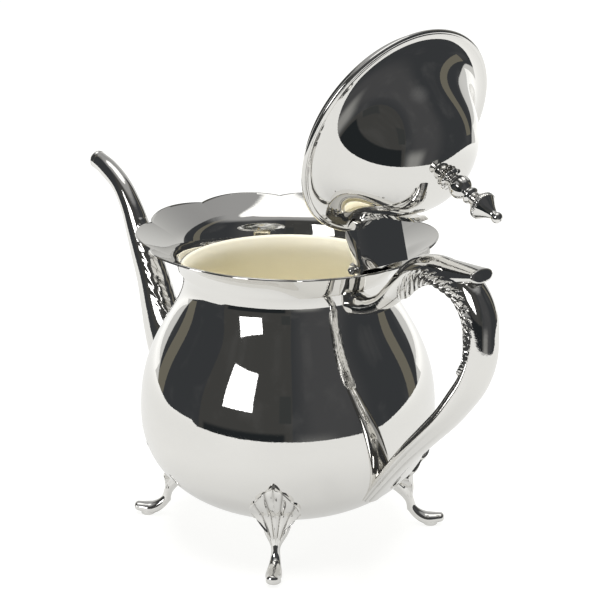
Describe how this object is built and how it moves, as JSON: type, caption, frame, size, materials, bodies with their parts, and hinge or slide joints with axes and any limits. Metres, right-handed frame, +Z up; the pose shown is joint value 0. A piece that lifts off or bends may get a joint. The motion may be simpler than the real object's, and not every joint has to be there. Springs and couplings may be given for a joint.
{
  "type": "teapot",
  "caption": "Footed round-bellied teapot with a hinged ogee lid, scalloped flared gallery, swan-neck spout and scrolled leaf-cast handle, in polished silver plate.",
  "frame": {"origin": "on the pot's vertical axis, in the plane that the four feet stand on", "axes": "+Z up, +X towards the spout, handle and lid hinge on -X, +Y across"},
  "size_m": [0.2945, 0.1408, 0.2503],
  "materials": {
    "polished_silver": "mirror-polished silver plate, slightly frosted ivory-toned inside the pot",
    "plain_silver": "satin silver plate",
    "brass": "turned, unplated"
  },
  "bodies": {
    "pot": {"pot_shell": "polished_silver", "gallery": "polished_silver", "spout": "polished_silver", "handle": "polished_silver", "front_left_foot": "polished_silver", "front_right_foot": "polished_silver", "back_left_foot": "polished_silver", "back_right_foot": "polished_silver", "hinge_bracket": "polished_silver"},
    "lid": {"lid_shell": "polished_silver", "lid_plug_ring": "polished_silver", "lid_hinge_box": "polished_silver", "thumb_leaf": "polished_silver", "knob_rosette": "polished_silver", "knob": "polished_silver", "knob_stud": "brass", "knob_washer": "plain_silver", "knob_nut": "brass", "hinge_pin": "polished_silver"}
  },
  "joints": [
    {"name": "lid_hinge", "type": "hinge", "parent": "pot", "child": "lid", "pos_m": [-0.061, 0, 0.143], "axis": [0, 1, 0], "range_deg": [0, 112]}
  ]
}
